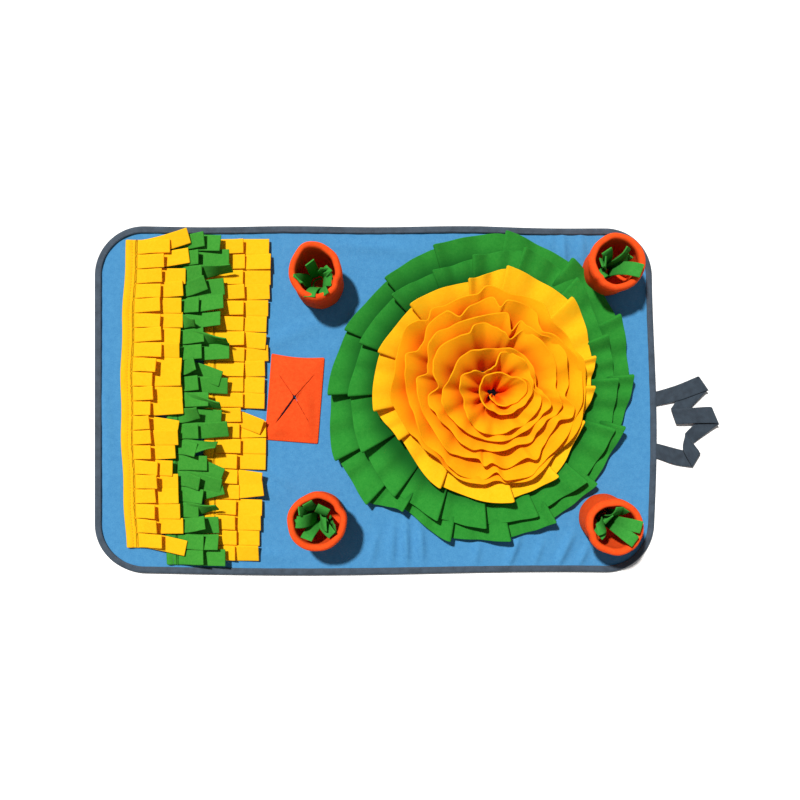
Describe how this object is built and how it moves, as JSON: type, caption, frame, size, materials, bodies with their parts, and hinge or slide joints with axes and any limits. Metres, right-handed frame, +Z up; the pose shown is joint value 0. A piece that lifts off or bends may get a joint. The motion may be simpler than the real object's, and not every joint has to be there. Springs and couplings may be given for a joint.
{
  "type": "snuffle mat",
  "caption": "Flat bound fleece mat with rows of folded fringe, a tall pleated fleece rosette, a slit patch, small open cups with leaf tufts and a folded carry strap.",
  "frame": {"origin": "centre of the mat's underside, on the surface that it rests on", "axes": "+X along the mat's length towards the carry strap, +Y across its width, +Z up"},
  "size_m": [0.8912, 0.4983, 0.0803],
  "materials": {
    "mat_fleece": "blue polyester fleece with a short nap",
    "binding_tape": "slate grey woven binding tape, stitched",
    "strap_webbing": "slate grey flat webbing",
    "fringe_yellow": "yellow polyester fleece, cut edges",
    "fringe_green": "green polyester fleece, cut edges",
    "ruffle_yellow": "yellow polyester fleece, gathered",
    "ruffle_green": "green polyester fleece, pleated",
    "patch_fleece": "orange red polyester fleece",
    "cup_fleece": "orange polyester fleece, rolled cuff",
    "leaf_fleece": "green polyester fleece strips"
  },
  "bodies": {
    "root": {"mat_cloth": "mat_fleece", "edge_binding": "binding_tape", "carry_strap": "strap_webbing", "slit_patch": "patch_fleece", "fringe_row_1": "fringe_yellow", "fringe_row_2": "fringe_green", "fringe_row_3": "fringe_yellow", "ruffle_green_outer": "ruffle_green", "ruffle_green_inner": "ruffle_green", "ruffle_yellow_1": "ruffle_yellow", "ruffle_yellow_2": "ruffle_yellow", "ruffle_yellow_3": "ruffle_yellow", "ruffle_yellow_4": "ruffle_yellow", "ruffle_yellow_5": "ruffle_yellow", "ruffle_yellow_6": "ruffle_yellow", "ruffle_yellow_7": "ruffle_yellow", "ruffle_heart": "ruffle_yellow", "cup_1": "cup_fleece", "cup_2": "cup_fleece", "cup_3": "cup_fleece", "cup_4": "cup_fleece", "leaf_tuft_1": "leaf_fleece", "leaf_tuft_2": "leaf_fleece", "leaf_tuft_3": "leaf_fleece", "leaf_tuft_4": "leaf_fleece"}
  },
  "joints": []
}
